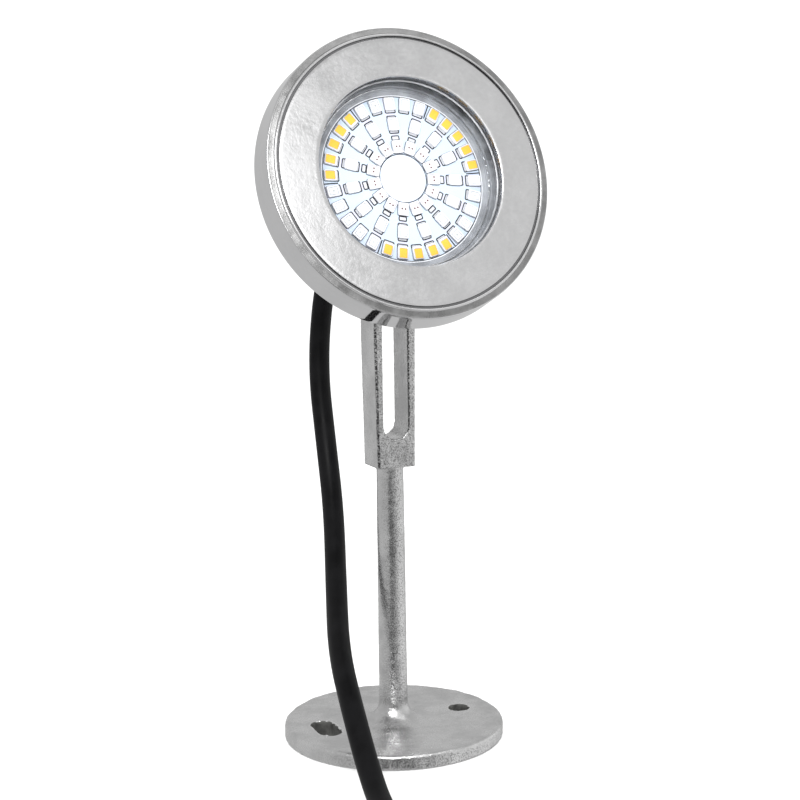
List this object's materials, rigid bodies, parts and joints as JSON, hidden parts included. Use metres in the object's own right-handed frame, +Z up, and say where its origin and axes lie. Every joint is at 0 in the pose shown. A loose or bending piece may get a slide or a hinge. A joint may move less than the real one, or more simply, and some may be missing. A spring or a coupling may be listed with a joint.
{
  "type": "underwater pool light",
  "caption": "Round stainless lamp head with recessed lens and LED board, tilting in a forked stem on a round anchor foot, with a sealed supply cord.",
  "frame": {"origin": "centre of the foot's underside", "axes": "+Z up the stem, +X along the tilt pivot and the line of the two anchor holes, the lamp faces -Y"},
  "size_m": [0.0837, 0.2361, 0.1932],
  "materials": {
    "cast_steel": "investment cast and bead blasted",
    "turned_steel": "turned and fine brushed",
    "housing_steel": "turned, satin",
    "fastener_steel": "machined",
    "gland_steel": "nickel plated",
    "cord_rubber": "matte extruded",
    "seal_rubber": "moulded",
    "lens_glass": "tempered clear",
    "ring_grey": "satin",
    "board_white": "white solder mask",
    "led_phosphor": "silicone phosphor",
    "led_clear": "clear silicone",
    "led_red_clear": "clear silicone",
    "thermal_pad": "silicone sheet",
    "spreader_aluminium": "milled",
    "driver_green": "green solder mask",
    "chip_black": "moulded epoxy",
    "inductor_dark": "ferrite",
    "capacitor_case": "sleeved can",
    "lead_copper": "insulated lead",
    "insert_plastic": "moulded nylon",
    "connector_plastic": "moulded nylon",
    "contact_brass": "gold flashed"
  },
  "bodies": {
    "stand": {"stand_base": "cast_steel", "fork": "cast_steel", "pivot_bolt": "fastener_steel", "pivot_washers": "fastener_steel", "pivot_nut": "fastener_steel", "cord_run": "cord_rubber", "cord_coil": "cord_rubber", "cord_tail": "cord_rubber", "connector_body": "connector_plastic", "connector_insert": "insert_plastic", "connector_pins": "contact_brass", "connector_oring": "seal_rubber"},
    "head": {"bezel_ring": "turned_steel", "lens_gasket": "seal_rubber", "lens_glass": "lens_glass", "board_ring": "ring_grey", "housing_seal": "seal_rubber", "rear_housing": "housing_steel", "housing_screws": "fastener_steel", "led_board": "board_white", "leds_inner": "led_red_clear", "leds_middle": "led_clear", "leds_warm": "led_phosphor", "leds_clear": "led_clear", "thermal_pad": "thermal_pad", "heat_spreader": "spreader_aluminium", "driver_board": "driver_green", "driver_screws": "fastener_steel", "link_header": "insert_plastic", "link_pins": "contact_brass", "driver_chip": "chip_black", "driver_bridge": "chip_black", "driver_inductor": "inductor_dark", "driver_capacitors": "capacitor_case", "supply_leads": "lead_copper", "pivot_lug": "housing_steel", "gland_body": "gland_steel", "gland_oring": "seal_rubber", "gland_locknut": "gland_steel", "gland_seal": "seal_rubber", "gland_cap": "gland_steel", "cord_entry": "cord_rubber"},
    "coupling": {"coupling_nut": "connector_plastic"}
  },
  "joints": [
    {"name": "head_tilt", "type": "hinge", "parent": "stand", "child": "head", "pos_m": [0, 0, 0.1294], "axis": [-1, 0, 0], "range_deg": [-23, 72], "deforming": ["cord_run"]},
    {"name": "coupling_turn", "type": "hinge", "parent": "stand", "child": "coupling", "pos_m": [0.006, -0.1844, 0.0071], "axis": [1, 0, 0], "continuous": true}
  ]
}
